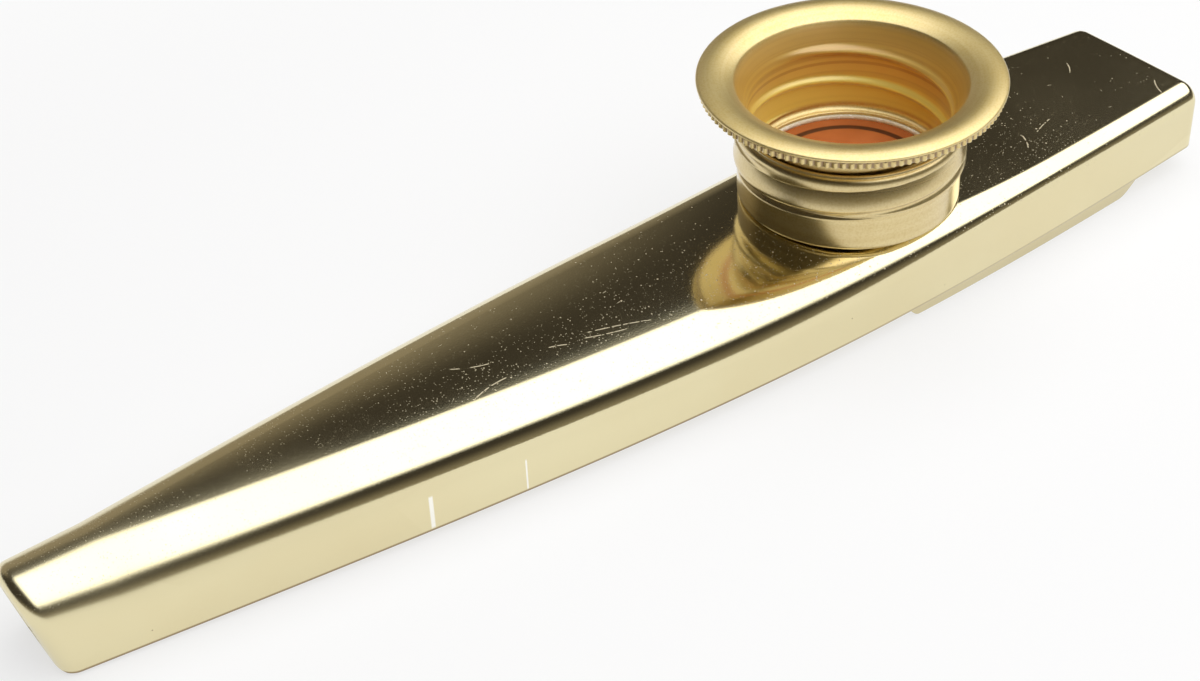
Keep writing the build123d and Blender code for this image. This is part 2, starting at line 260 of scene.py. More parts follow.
class Paint:
    """One material's node tree, with the few steps that the finishes share."""

    def __init__(self, holder: Material | bpy.types.World) -> None:
        """Starts with an empty tree.

        Args:
            holder: The new material or world whose nodes are made.
        """
        holder.use_nodes = True
        self.holder = holder
        self.tree = holder.node_tree
        self.tree.nodes.clear()

    @classmethod
    def material(cls, name: str) -> "Paint":
        """A paint for a new material."""
        return cls(bpy.data.materials.new(name))

    def node(self, kind: str, settings: dict[str, object], sockets: dict[str | int, object],
             output: str | int = 0) -> Wire:
        """Adds a node.

        Args:
            kind: Type of the node.
            settings: The node's own settings.
            sockets: Values or wires for the inputs, by name or number.
            output: The output to hand back.

        Returns:
            The wire of that output.
        """
        node = self.tree.nodes.new(kind)
        for key, value in settings.items():
            setattr(node, key, value)
        for key, value in sockets.items():
            if isinstance(value, Wire):
                self.tree.links.new(value.socket, node.inputs[key])
            else:
                node.inputs[key].default_value = value
        return Wire(self, node.outputs[output])

    def place(self, scale: Vector = (1, 1, 1), shift: Vector = (0, 0, 0)) -> Wire:
        """Object coordinates, moved by a shift in metres and then scaled along each axis.

        Args:
            scale: Factor along each axis.
            shift: Move in metres.

        Returns:
            The coordinates.
        """
        coords = self.node("ShaderNodeTexCoord", {}, {}, "Object")
        moved = self.node("ShaderNodeVectorMath", {"operation": "ADD"}, {0: coords, 1: shift})
        return self.node("ShaderNodeVectorMath", {"operation": "MULTIPLY"}, {0: moved, 1: scale})

    def axes(self, where: Wire) -> tuple[Wire, Wire, Wire]:
        """The three numbers of a vector."""
        split = self.node("ShaderNodeSeparateXYZ", {}, {0: where})
        return tuple(Wire(self, socket) for socket in split.socket.node.outputs)

    def noise(self, where: Wire, scale: float, detail: float = 3.0) -> Wire:
        """Soft noise from 0 to 1."""
        return self.node("ShaderNodeTexNoise", {}, {"Vector": where, "Scale": scale, "Detail": detail}, "Fac")

    def round_axis(self, axis_x: float) -> tuple[Wire, Wire]:
        """Distance from the turret's axis, and height, both in metres.

        Args:
            axis_x: Place of the axis, in millimetres.

        Returns:
            The distance and the height.
        """
        where = self.place(shift=(-axis_x * MM, 0.0, 0.0))
        flat = self.node("ShaderNodeVectorMath", {"operation": "MULTIPLY"}, {0: where, 1: (1, 1, 0)})
        radius = self.node("ShaderNodeVectorMath", {"operation": "LENGTH"}, {0: flat}, "Value")
        return radius, self.axes(where)[2]

    def rings(self, along: Wire, scale: float, detail: float) -> Wire:
        """Noise from 0 to 1 that changes only with one value."""
        return self.node("ShaderNodeTexNoise", {"noise_dimensions": "1D"},
                         {"W": along, "Scale": scale, "Detail": detail}, "Fac")

    def specks(self, where: Wire, scale: float, size: float, share: float) -> Wire:
        """Small spots, 1 inside: the middles of those cells of a Voronoi grid that a random share picks.

        Args:
            where: Coordinates.
            scale: Cells in a metre.
            size: Radius as a share of a cell.
            share: Share of the cells in use.

        Returns:
            The mask.
        """
        cells = {"Vector": where, "Scale": scale}
        distance = self.node("ShaderNodeTexVoronoi", {}, cells, "Distance")
        random = self.node("ShaderNodeTexVoronoi", {}, cells, "Color")
        chance = self.node("ShaderNodeSeparateColor", {}, {0: random})
        return (1.0 - distance.rising(size * 0.5, size)) * chance.rising(1.0 - share, 1.0 - share * 0.9)

    def strokes(self, turn: float, stretch: float, scale: float, size: float, share: float) -> Wire:
        """Short straight marks: specks on coordinates that are turned about Z in degrees and drawn out.

        Args:
            turn: Direction.
            stretch: Length over width.
            scale: Cells in a metre.
            size: Radius as a share of a cell.
            share: Share of the cells in use.

        Returns:
            The mask.
        """
        coords = self.node("ShaderNodeTexCoord", {}, {}, "Object")
        where = self.node("ShaderNodeMapping", {"vector_type": "TEXTURE"}, {
            "Vector": coords, "Rotation": (0.0, 0.0, math.radians(turn)), "Scale": (stretch, 1.0, 1.0),
        })
        return self.specks(where, scale, size, share)

    def mix(self, factor: Wire, first: Wire | Colour, second: Wire | Colour) -> Wire:
        """A colour between two, by a factor."""
        first, second = (end if isinstance(end, Wire) else rgba(end) for end in (first, second))
        return self.node("ShaderNodeMix", {"data_type": "RGBA"}, {0: factor, 6: first, 7: second}, 2)

    def bump(self, height: Wire, distance: float, strength: float = 1.0) -> Wire:
        """A normal bent by a height from 0 to 1 that stands for a distance in metres."""
        return self.node("ShaderNodeBump", {}, {"Height": height, "Distance": distance, "Strength": strength})

    def principled(self, sockets: dict[str | int, object]) -> Material:
        """Ends the tree with a Principled shader on these inputs and hands back the material."""
        return self.output(self.node("ShaderNodeBsdfPrincipled", {}, sockets))

    def output(self, surface: Wire,
               kind: str = "ShaderNodeOutputMaterial") -> Material | bpy.types.World:
        """Ends the tree with a surface and hands back the material or world.

        Args:
            surface: The shader.
            kind: Type of the last node.

        Returns:
            The material or world.
        """
        end = self.tree.nodes.new(kind)
        self.tree.links.new(surface.socket, end.inputs["Surface"])
        return self.holder


@dataclass(frozen=True)
class Streak:
    """A pale upright rub mark on the front side, in millimetres."""

    x: float
    half_width: float
    low: float
    high: float
    fades: Point = (0.4, 0.3)
    front: Point = (-5.0, -4.0)

    def mask(self, axes: tuple[Wire, Wire, Wire]) -> Wire:
        """1 near its place along the body, between its two heights, on the side that faces -Y.

        Args:
            axes: The object coordinates, in metres.

        Returns:
            The mask.
        """
        x, y, z = axes
        half, low, high = self.half_width * MM, self.low * MM, self.high * MM
        across = 1.0 - abs(x - self.x * MM).rising(half * 0.5, half)
        along = z.between((low, low + self.fades[0] * MM), (high - self.fades[1] * MM, high))
        return across * along * (1.0 - y.rising(self.front[0] * MM, self.front[1] * MM))


@dataclass(frozen=True)
class Scratch:
    """A thin bowed scratch on the top, from one place to another, in millimetres."""

    start: Point
    end: Point
    bow: float
    half_width: float = 0.07
    fade: float = 0.15

    def mask(self, axes: tuple[Wire, Wire, Wire]) -> Wire:
        """1 on the line that joins the ends, moved sideways by the bow times 4t(1 - t).

        Here t is the share of the way along the line, and the mask fades out at both ends.

        Args:
            axes: The object coordinates, in metres.

        Returns:
            The mask.
        """
        run = np.array(self.end) - np.array(self.start)
        length = float(np.hypot(*run))
        step_x, step_y = (float(v) for v in run / length)
        x = axes[0] * (1.0 / MM) - self.start[0]
        y = axes[1] * (1.0 / MM) - self.start[1]
        t = (x * step_x + y * step_y) * (1.0 / length)
        off = y * step_x - x * step_y - t * (1.0 - t) * (4.0 * self.bow)
        line = 1.0 - abs(off).rising(self.half_width * 0.4, self.half_width)
        return line * t.between((0.0, self.fade), (1.0 - self.fade, 1.0))


@dataclass(frozen=True)
class BrightGold:
    """Pale champagne-gold lacquer on polished sheet, finely pitted, with dust, scratches and rub marks.

    The spans are in metres along one axis of the part, apart from the line of painted shade along the hem,
    which is in millimetres above the hem. Each stroke is a turn in degrees, a stretch, a scale, a size and a
    share.
    """

    name: str
    colour: Colour = (0.80, 0.72, 0.46)
    cloud: Colour = (0.76, 0.66, 0.40)
    dust: Colour = (0.62, 0.53, 0.36)
    smear: Colour = (0.70, 0.60, 0.36)
    # dark brown: the side's flecks, and the painted shade along the hem's lower turn
    edge: Colour = (0.26, 0.17, 0.075)
    rubbed: Colour = (1.0, 0.99, 0.93)
    roughness: float = 0.09
    streaks: tuple[Streak, ...] = ()
    scratches: tuple[Scratch, ...] = ()
    # slope and height of the line along the hem; below it, painted shade darkens the hem's lower turn
    hem: Point | None = None
    hem_shade_line: Point = (0.36, 0.54)
    hem_shade_fade: Point = (0.0, 0.03)
    top_face: Point = (0.0066, 0.0078)
    busier: Point = (-0.055, 0.02)
    calmer: Point = (0.036, 0.054)
    shaded: Point = (-0.007, 0.002)
    dusty: tuple[Point, Point] = ((0.022, 0.032), (0.04, 0.054))
    dull_mouth: Point = (0.025, 0.06)
    dull_exit: Point = (-0.06, -0.025)
    strokes: tuple[tuple[float, ...], ...] = (
        (8.0, 7.0, 1900.0, 0.08, 0.12), (66.0, 5.0, 2100.0, 0.09, 0.12),
        (118.0, 6.0, 1700.0, 0.07, 0.10), (156.0, 8.0, 1800.0, 0.08, 0.10),
    )

    def material(self) -> Material:
        """Clouds change colour and gloss, pits bend the gloss, and dust and strokes lie on the top.

        Painted shade darkens the hem's lower turn: the strip just above a line that climbs along the body.

        Returns:
            The material.
        """
        paint = Paint.material(self.name)
        where = paint.place()
        axes = x, y, z = paint.axes(where)
        above = z.rising(*self.top_face)
        calm = 1.0 - x.rising(*self.calmer) * 0.55
        busy = (x.rising(*self.busier) * 0.7 + 0.3) * calm
        cloud = paint.noise(where, 70.0, 4.0).rising(0.35, 0.75)
        clump = paint.noise(where, 110.0, 3.0).rising(0.30, 0.64) * 0.5 + 0.5
        pits = paint.noise(where, 5200.0, 2.0)
        # painted light: the fine specks fade towards the back (+Y) and show most towards the front, where the
        # soft box's light grazes the top
        lit = 0.95 - y.rising(*self.shaded) * 0.4
        fine = paint.specks(where, 4600.0, 0.27, 0.44) * clump * lit * calm
        dust = paint.specks(where, 2300.0, 0.20, 0.40) * clump + paint.specks(where, 900.0, 0.10, 0.45)
        dust = dust + paint.specks(where, 1500.0, 0.13, 0.40) * x.between(*self.dusty)
        marks = sum(paint.strokes(*stroke) for stroke in self.strokes)
        pale = ((dust + marks) * busy + fine * 0.9) * above
        ragged = paint.noise(where, 2600.0, 2.0).rising(0.36, 0.52)
        for scratch in self.scratches:
            pale = pale + scratch.mask(axes) * ragged
        pale = pale.rising(0.0, 1.0)
        ends = x.rising(*self.dull_mouth) * 0.04 + 0.13 - x.rising(*self.dull_exit) * 0.13
        smear = paint.strokes(0.0, 2.5, 130.0, 0.9, 0.5) * (1.0 - above)
        flecks = paint.specks(where, 620.0, 0.055, 0.12) * (1.0 - above)
        colour = paint.mix(cloud * 0.5, self.colour, self.cloud)
        colour = paint.mix(smear * 0.22, colour, self.smear)
        colour = paint.mix(flecks * 0.6, colour, self.edge)
        colour = paint.mix(pale * 0.85, colour, self.dust)
        for streak in self.streaks:
            colour = paint.mix(streak.mask(axes) * 0.9, colour, self.rubbed)
        if self.hem is not None:
            slope, height = self.hem
            # painted shade: the hem's lower turn, where the body meets the table, is darkened, less so
            # towards the mouth where the hem rises off the table
            low = 1.0 - (z - x * slope).rising(*((height + line) * MM for line in self.hem_shade_line))
            colour = paint.mix(low * (0.9 - x.rising(*self.hem_shade_fade) * 0.5), colour, self.edge)
        return paint.principled({
            "Base Color": colour,
            "Metallic": 1.0 - pale * 0.75,
            "Roughness": self.roughness + cloud * 0.03 + ends + pale * 0.35,
            "Normal": paint.bump(pits, 2.2e-6),
        })


@dataclass(frozen=True)
class BareTin:
    """The dull bare sheet inside the body, with faint clouds."""

    colour: Colour = (0.80, 0.79, 0.75)
    cloud: Colour = (0.66, 0.65, 0.61)

    def material(self) -> Material:
        """Clouds change colour and gloss.

        Returns:
            The material.
        """
        paint = Paint.material("bare_tin")
        cloud = paint.noise(paint.place(), 260.0, 4.0)
        return paint.principled({
            "Base Color": paint.mix(cloud.rising(0.35, 0.7), self.colour, self.cloud),
            "Metallic": 0.6,
            "Roughness": 0.4 + cloud * 0.2,
        })


@dataclass(frozen=True)
class TurnedGold:
    """Satin gold lacquer over turned or spun sheet, with fine rings and worn spots."""

    name: str
    axis_x: float
    colour: Colour
    deep: Colour
    roughness: float
    ring_depth: float
    bore: Vector | None = None
    bore_colour: Colour = (0.82, 0.57, 0.12)
    bore_deep: Colour = (0.64, 0.39, 0.075)
    # the bore's painted light (its low band) and painted shade (its high band)
    bore_painted_light: Colour = (1.0, 0.86, 0.17)
    bore_painted_shade: Colour = (0.54, 0.32, 0.065)
    light_band: Point = (0.0022, 0.0046)
    shade_band: Point = (0.0050, 0.0072)
    # painted shade under the rim: near and far radius, and the height below which it lies
    under_rim_shade: Vector | None = None
    under_rim_shade_colour: Colour = (0.62, 0.29, 0.08)
    # painted shade in the knurls: inner and outer radius of the valleys, and the height of the rolled rim
    # above
    knurl_shade: Vector | None = None
    knurl_shade_colour: Colour = (0.22, 0.12, 0.045)

    def material(self) -> Material:
        """Rings round the axis change colour, gloss and relief, and clouds and grain deepen the gold.

        Inside a radius and above a height the bore is duller and deeper, with painted light in a bright band
        low down and painted shade in a darker band higher up. Between two radii and below a height lies
        painted shade under the rim, in a warm brown, and painted shade fills what lies inside a radius or
        close below a height.
        The bore's two bands are in metres above its foot.

        Returns:
            The material.
        """
        paint = Paint.material(self.name)
        radius, height = paint.round_axis(self.axis_x)
        along = radius * 0.8 + height
        rings = paint.rings(along, 9000.0, 2.0) * 0.5 + paint.rings(along, 2400.0, 2.0) * 0.5
        stain = paint.rings(along, 1500.0, 4.0).rising(0.40, 0.66)
        where = paint.place()
        cloud = paint.noise(where, 220.0, 4.0).rising(0.35, 0.7)
        grain = paint.noise(where, 5200.0, 2.0)
        deepen = cloud * 0.3 + stain * 0.3 + grain.rising(0.42, 0.66) * 0.4
        colour = paint.mix(deepen, self.colour, self.deep)
        metal = 1.0
        if self.bore is not None:
            inner, outer, low = (v * MM for v in self.bore)
            inside = (1.0 - radius.rising(inner, outer)) * height.rising(low, low + 0.0006)
            bore = paint.mix(stain, self.bore_colour, self.bore_deep)
            rise = height - low
            # painted light low in the bore and painted shade high in it: brighter and darker colours by
            # height
            bore = paint.mix(0.8 - rise.rising(*self.light_band) * 0.8, bore, self.bore_painted_light)
            bore = paint.mix(rise.rising(*self.shade_band) * 0.8, bore, self.bore_painted_shade)
            colour = paint.mix(inside, colour, bore)
            metal = 1.0 - inside * 0.75
        if self.under_rim_shade is not None:
            # painted shade: the rim's underside is drawn warm brown and less metallic, for the shade and warm
            # bounce light under the rim
            near, far, high = (v * MM for v in self.under_rim_shade)
            under = radius.between((near, near + 0.0004), (far - 0.0003, far))
            under = under * (1.0 - height.rising(high - 0.0002, high))
            colour = paint.mix(under, colour, self.under_rim_shade_colour)
            metal = 1.0 - under * 0.5
        if self.knurl_shade is not None:
            # painted shade: darker in the valleys between the teeth and in a thin strip under the rolled rim
            inner, outer, high = (v * MM for v in self.knurl_shade)
            painted_shade = 1.0 - radius.rising(inner, outer) * (1.0 - height.rising(high - 0.00022, high - 0.00010))
            colour = paint.mix(painted_shade * 0.85, colour, self.knurl_shade_colour)
        return paint.principled({
            "Base Color": colour,
            "Metallic": metal,
            "Roughness": self.roughness + rings * 0.08,
            "Coat Weight": 1.0,
            "Coat Roughness": self.roughness * 0.7,
            "Coat IOR": 1.7,
            "Normal": paint.bump(rings * 0.7 + grain, self.ring_depth),
        })


@dataclass(frozen=True)
class OrangeFilm:
    """Thin glossy orange film, drawn over a ring whose inner edge shows through as a darker circle."""

    axis_x: float
    edge_radius: float
    colour: Colour = (0.43, 0.120, 0.029)
    pale: Colour = (0.50, 0.150, 0.040)
    shade: Colour = (0.05, 0.016, 0.006)
    edge_fade: Point = (0.00020, 0.00040)

    def material(self) -> Material:
        """Clouds vary the orange, a dark circle marks the ring's edge, and fine creases bend the gloss.

        Returns:
            The material.
        """
        paint = Paint.material("orange_film")
        radius, _ = paint.round_axis(self.axis_x)
        where = paint.place()
        edge = 1.0 - abs(radius - self.edge_radius * MM).rising(*self.edge_fade)
        cloud = paint.noise(where, 300.0, 4.0).rising(0.3, 0.7)
        crease = paint.noise(where, 700.0, 3.0)
        orange = paint.mix(cloud, self.colour, self.pale)
        return paint.principled({
            "Base Color": paint.mix(edge * 0.9, orange, self.shade),
            "Roughness": 0.42 + cloud * 0.12,
            "Specular IOR Level": 0.2,
            "Normal": paint.bump(crease, 2e-5),
        })


@dataclass(frozen=True)
class Fibre:
    """Pressed fibre or card, with short fibres in colour and relief."""

    name: str
    colour: Colour
    fleck: Colour

    def material(self) -> Material:
        """Fibres are fine noise drawn out along one direction, and change colour, gloss and relief.

        Returns:
            The material.
        """
        paint = Paint.material(self.name)
        fibre = paint.noise(paint.place((1, 0.35, 1)), 2600.0, 3.0)
        fleck = fibre.rising(0.5, 0.68)
        return paint.principled({
            "Base Color": paint.mix(fleck, self.colour, self.fleck),
            "Roughness": 0.55 + fibre * 0.25,
            "Normal": paint.bump(fibre, 2e-5),
        })


@dataclass(frozen=True)
class PaleFloor:
    """White sheet that lies under the object, seen by the camera and in the metal as a white ground."""

    colour: Colour = (0.86, 0.86, 0.86)
    grain: Colour = (0.8, 0.8, 0.8)
    ground: float = 0.68
    far_start: float = 60.0
    far_end: float = 160.0

    def material(self) -> Material:
        """Camera, glossy and transmission rays see part of a plain white glow, and the rest keeps the shadow.

        Away from the object, where no shadow falls, the glow's share rises to the whole.

        Returns:
            The material.
        """
        paint = Paint.material("pale_floor")
        where = paint.place()
        far = abs(paint.axes(where)[1]).rising(self.far_start * MM, self.far_end * MM)
        grain = paint.noise(where, 400.0, 2.0)
        card = paint.node("ShaderNodeBsdfPrincipled", {}, {
            "Base Color": paint.mix(grain * 0.05, self.colour, self.grain),
            "Roughness": 0.9,
            "Specular IOR Level": 0.1,
        })
        glow = paint.node("ShaderNodeEmission", {}, {"Color": rgba(WHITE), "Strength": 1.0})
        camera = paint.node("ShaderNodeLightPath", {}, {}, "Is Camera Ray")
        glossy = paint.node("ShaderNodeLightPath", {}, {}, "Is Glossy Ray")
        through = paint.node("ShaderNodeLightPath", {}, {}, "Is Transmission Ray")
        share = (camera + glossy + through) * (far * (1.0 - self.ground) + self.ground)
        return paint.output(paint.node("ShaderNodeMixShader", {}, {0: share, 1: card, 2: glow}))


@dataclass(frozen=True)
class SoftBox:
    """The glowing face of the soft box, bright in the middle and fading out towards its edges."""

    centre: Point
    half: Point
    fade: tuple[float, float, float, float]
    strength: float

    def material(self) -> Material:
        """The glow falls off smoothly over its own width along each of the four edges, -X, +X, -Y and +Y.

        Returns:
            The material.
        """
        paint = Paint.material("soft_box_face")
        x, y, _ = paint.axes(paint.place(shift=(-self.centre[0] * MM, -self.centre[1] * MM, 0.0)))
        west, east, south, north = (width * MM for width in self.fade)
        wide, deep = (side * MM for side in self.half)
        glow = x.between((-wide, west - wide), (wide - east, wide))
        glow = glow * y.between((-deep, south - deep), (deep - north, deep))
        return paint.principled({
            "Base Color": rgba(BLACK),
            "Emission Color": paint.mix(glow, BLACK, WHITE),
            "Emission Strength": self.strength,
            "Specular IOR Level": 0.0,
        })


@dataclass(frozen=True)
class DimRoom:
    """The dim room round the studio, with a grey-brown wall that shows low behind the object."""

    dark: Colour = (0.044, 0.038, 0.031)
    wall: Colour = (0.31, 0.27, 0.21)
    front: Colour = (0.27, 0.24, 0.18)

    def world(self) -> bpy.types.World:
        """The wall shows low towards +Y and a paler front low towards -Y.

        Each is a smooth step in the direction's height, times one in its share along Y once it is laid flat.

        Returns:
            The world.
        """
        paint = Paint(bpy.data.worlds.new("room"))
        where = paint.node("ShaderNodeTexCoord", {}, {}, "Generated")
        flat = paint.node("ShaderNodeVectorMath", {"operation": "MULTIPLY"}, {0: where, 1: (1, 1, 0)})
        y = paint.axes(paint.node("ShaderNodeVectorMath", {"operation": "NORMALIZE"}, {0: flat}))[1]
        z = paint.axes(where)[2]
        ahead = 1.0 - y.rising(-0.3, 0.1)
        wall = y.rising(0.80, 0.93) * (1.0 - z.rising(0.47, 0.64))
        colour = paint.mix(wall, self.dark, self.wall)
        colour = paint.mix(ahead * (1.0 - z.rising(-0.03, 0.38)), colour, self.front)
        room = paint.node("ShaderNodeBackground", {}, {"Color": colour})
        return paint.output(room, "ShaderNodeOutputWorld")


@dataclass
class BodyShell:
    """The boat-shaped upper shell: a sheet with rounded top corners, turned ends and a hem folded under.

    The exit end is cut on a slant, so that the top stands out past the bottom edge.
    """

    mouth_x: float
    top: float
    hole_x: float
    length: float = 122.0
    exit_width: float = 7.4
    exit_slant: float = 2.08
    slant_reach: float = 24.0
    widest_width: float = 21.4
    mouth_width: float = 16.2
    widest_from_mouth: float = 44.0
    exit_flare: float = 0.127
    mouth_taper: float = 0.09
    mouth_height: float = 7.0
    main_corner: float = 4.5
    mouth_corner: float = 1.95
    corner_start: float = 62.0
    corner_length: float = 40.0
    exit_flat: float = 0.4
    lean: Point = (4.2, 0.6)
    lean_change: Point = (0.0, 45.0)
    least_round: float = 0.05
    mouth_skew: float = 0.6
    skew_reach: float = 16.0
    sheet: float = 0.45
    hem_lip: float = 0.55
    hem_round: float = 0.45
    end_lip: float = 1.3
    end_rounds: Point = (1.4, 1.1)
    foot_share: float = 0.6
    slot_end: float = 1.6
    hole_radius: float = 6.85
    holding: float = 0.03
    exit_x: float = field(init=False)

    def __post_init__(self) -> None:
        """Places the exit end."""
        self.exit_x = self.mouth_x - self.length

    def half_width(self, x: Array) -> Array:
        """Half of the outside width: one cubic from the exit to the widest place and one on to the mouth.

        Args:
            x: Places along the body.

        Returns:
            Half widths.
        """
        widest_x = self.mouth_x - self.widest_from_mouth
        span = widest_x - self.exit_x
        t = (x - self.exit_x) / span
        rise = (self.widest_width - self.exit_width) / 2
        flare = span * self.exit_flare * (t - 2 * t**2 + t**3)
        narrow = self.exit_width / 2 + flare + rise * (3 * t**2 - 2 * t**3)
        u = (x - widest_x) / self.widest_from_mouth
        fall = (self.widest_width - self.mouth_width) / 2
        bend_in = self.widest_from_mouth * self.mouth_taper * (u**2 - u**3)
        wide = self.widest_width / 2 - fall * (3 * u**2 - 2 * u**3) + bend_in
        return np.where(x < widest_x, narrow, wide)

    def corner(self, x: Array) -> Array:
        """Radius of the top corner: full at the narrow half, tight at the mouth, never wider than the top.

        Args:
            x: Places along the body.

        Returns:
            Radii.
        """
        share = smooth_step(x - self.exit_x, self.corner_start, self.corner_start + self.corner_length)
        wanted = self.main_corner + (self.mouth_corner - self.main_corner) * share
        return np.minimum(wanted, self.half_width(x) - self.exit_flat / 2)

    def hem(self, x: Array) -> Array:
        """Height of the bottom edge, which climbs in a straight line from the exit to the mouth."""
        return (self.top - self.mouth_height) * (x - self.exit_x) / (self.mouth_x - self.exit_x)

    def rows(self) -> tuple[Array, Array]:
        """Places along the body and how far the section is moved in there.

        Each end is a flat ring, then a quarter circle in which the section grows out to the full outside.

        Returns:
            The places along X and the insets, one for each row.
        """
        angle = np.radians(np.linspace(0, 90, 11))
        into, insets = [], []
        for end_round in self.end_rounds:
            ring = np.linspace(end_round + 0.2, end_round, 4)[:-1]
            into.append(np.concatenate([0 * ring, end_round * (1 - np.cos(angle))]))
            insets.append(np.concatenate([ring, end_round * (1 - np.sin(angle))]))
        start, end = self.exit_x + self.end_rounds[0], self.mouth_x - self.end_rounds[1]
        middle = np.linspace(start, end, 250)[1:-1]
        x = np.concatenate([self.exit_x + into[0], middle, (self.mouth_x - into[1])[::-1]])
        return x, np.concatenate([insets[0], 0 * middle, insets[1][::-1]])

    def half_section(self, x: Array, inset: Array) -> tuple[Array, Array]:
        """Half sections from the hem's lip, round the hem, up the side and over the corner to the middle.

        Args:
            x: Places along the body.
            inset: How far each section is moved in.

        Returns:
            Distance from the middle and height, each of shape (places, points).
        """
        side = (self.half_width(x) - inset)[:, None]
        top = (self.top - inset)[:, None]
        foot = (self.hem(x) + self.foot_share * inset)[:, None]
        corner = np.maximum(self.corner(x) - inset, self.least_round)[:, None]
        turned = smooth_step(x, *self.lean_change)
        lean = np.radians(self.lean[0] + (self.lean[1] - self.lean[0]) * turned)[:, None]
        fold = np.maximum(self.hem_round - inset, self.least_round)[:, None]
        reach = np.minimum(x - self.exit_x, self.mouth_x - x)
        slot = smooth_step(reach, self.end_lip, self.end_lip + self.slot_end)[:, None]
        lip_end = (self.half_width(x)[:, None] - self.hem_lip) * slot
        t = np.linspace(0, 1, 5)
        lip_y = lip_end + (side - fold - lip_end) * t
        turn = np.radians(np.linspace(0, 90, 8))[1:]
        fold_y = side - fold + fold * np.sin(turn)
        fold_z = foot + fold - fold * np.cos(turn)
        crown = side - corner + corner * np.sin(lean)
        drop = 0.5 * crown * np.tan(lean)
        low = foot + fold
        high = top - drop - corner * np.cos(lean)
        climb = np.array([0.01, 0.2, 0.4, 0.6, 0.8, 0.99])
        side_z = low + (high - low) * climb
        over = np.pi / 2 + (lean - np.pi / 2) * np.linspace(0, 1, 25)
        corner_y = side - corner + corner * np.sin(over)
        corner_z = high + corner * np.cos(over)
        across = np.concatenate([1 - self.holding * np.array([0.3, 1.0]), np.linspace(0.94, 0, 16)])
        top_y = crown * across
        top_z = top - drop * across**2
        y = np.concatenate([lip_y, fold_y, side + 0 * side_z, corner_y, top_y], axis=1)
        z = np.concatenate([foot + 0 * lip_y, fold_z, side_z, corner_z, top_z], axis=1)
        return y, z

    def slanted(self, x: Array, y: Array, z: Array) -> Array:
        """Leans the exit end and skews the mouth end.

        A point near the exit moves towards the mouth by its depth below the top, and a point near the
        mouth moves in by its distance from the front side. Both fade out along the body.

        Args:
            x: Places along the body, one for each row.
            y: Distances from the middle.
            z: Heights.

        Returns:
            Grid of points, each at the body's width for its new place.
        """
        share = (self.top - z) / self.top
        fade = 1.0 - smooth_step(x - self.exit_x, 0.0, self.slant_reach)[:, None]
        moved = x[:, None] + self.exit_slant * share * fade
        reach = smooth_step(x, self.mouth_x - self.skew_reach, self.mouth_x)[:, None]
        skew = -self.mouth_skew * reach * np.clip(0.5 + y / self.mouth_width, 0.0, 1.0)
        wider = self.half_width(moved) / self.half_width(x)[:, None]
        climb = (self.hem(moved) - self.hem(x)[:, None]) * share
        return np.stack([moved + skew, y * wider, z + climb], axis=-1)

    def build(self) -> Object:
        """Carries the section along the body, leaves out the turret's hole and thickens the sheet inwards.

        Returns:
            The shell.
        """
        x, inset = self.rows()
        y, z = self.half_section(x, inset)
        across = np.concatenate([-y, y[:, -2::-1]], axis=1)
        height = np.concatenate([z, z[:, -2::-1]], axis=1)
        points = self.slanted(x, across, height)

        def outside_hole(centre: Array) -> NDArray[np.bool_]:
            """Quads that aren't in the turret's hole."""
            far = np.hypot(centre[:, 0] - self.hole_x, centre[:, 1]) > self.hole_radius
            return far | (centre[:, 2] < self.top - self.sheet)

        obj = grid_object("shell_skin", points, keep=outside_hole)
        wall = thicken(obj, self.sheet)
        slope = (self.top - self.mouth_height) / self.length
        finish = BrightGold(
            # hem: where the painted shade along the hem's lower turn lies
            "bright_gold_lacquer", hem=(slope, -slope * self.exit_x),
            streaks=(Streak(-27.8, 0.24, 0.9, 4.6), Streak(-19.1, 0.10, 1.0, 4.5)),
            scratches=(
                Scratch((-20.7, 0.3), (-16.8, -1.4), -0.25), Scratch((-21.1, -4.4), (-17.0, -3.6), 0.25),
                Scratch((-9.1, -2.7), (-2.7, -4.9), 0.15), Scratch((-9.4, -3.2), (-5.2, -4.5), -0.1),
                Scratch((-12.4, -2.5), (-10.5, -3.3), 0.1), Scratch((42.6, -4.2), (45.8, -3.1), 0.1),
                Scratch((41.3, -3.6), (40.1, -5.7), 0.15), Scratch((54.0, 3.5), (52.6, 1.4), 0.2),
                Scratch((58.3, -4.4), (57.0, -6.7), -0.2),
            ),
        )
        obj.data.materials.append(finish.material())
        obj.data.materials.append(BareTin().material())
        wall.material_offset = 1
        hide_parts("upper_shell")
        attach(obj, Body.SHELL.value)
        return obj


